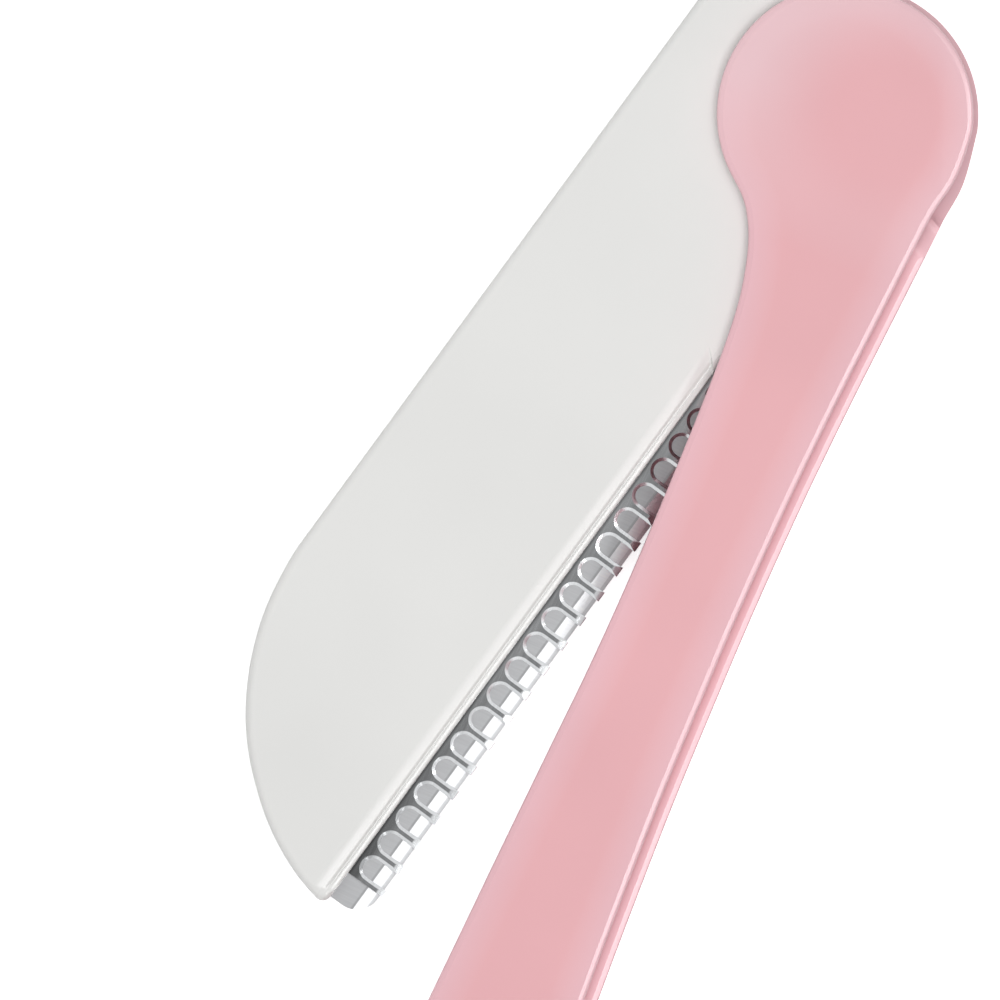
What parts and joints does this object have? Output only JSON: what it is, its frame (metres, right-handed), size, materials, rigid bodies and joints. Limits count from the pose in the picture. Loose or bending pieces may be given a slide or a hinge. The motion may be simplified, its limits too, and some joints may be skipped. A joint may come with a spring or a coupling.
{
  "type": "eyebrow razor",
  "caption": "Folding eyebrow razor: a slim two-shell handle with a round head, and a flat blade carrier on a hidden pin whose guarded steel blade folds into the handle.",
  "frame": {"origin": "where the pivot pin's axis meets the flat rear face that the razor lies on", "axes": "+X along the handle from the pivot to its tail, +Y to the handle's closed spine, +Z out of the front face, along the pivot's axis"},
  "size_m": [0.0882, 0.0297, 0.0064],
  "materials": {
    "pink_plastic": "glossy moulded",
    "white_plastic": "satin moulded",
    "blade_steel": "ground",
    "guard_steel": "pressed and polished",
    "pin_steel": "turned"
  },
  "bodies": {
    "handle": {"handle_rear_shell": "pink_plastic", "handle_front_shell": "pink_plastic", "pivot_pin": "pin_steel"},
    "carrier": {"carrier_rear_half": "white_plastic", "carrier_front_half": "white_plastic", "blade": "blade_steel", "blade_guard": "guard_steel"}
  },
  "joints": [
    {"name": "carrier_pivot", "type": "hinge", "parent": "handle", "child": "carrier", "pos_m": [0, 0, 0.0031], "axis": [0, 0, -1], "range_deg": [-12.5, 165.5]}
  ]
}
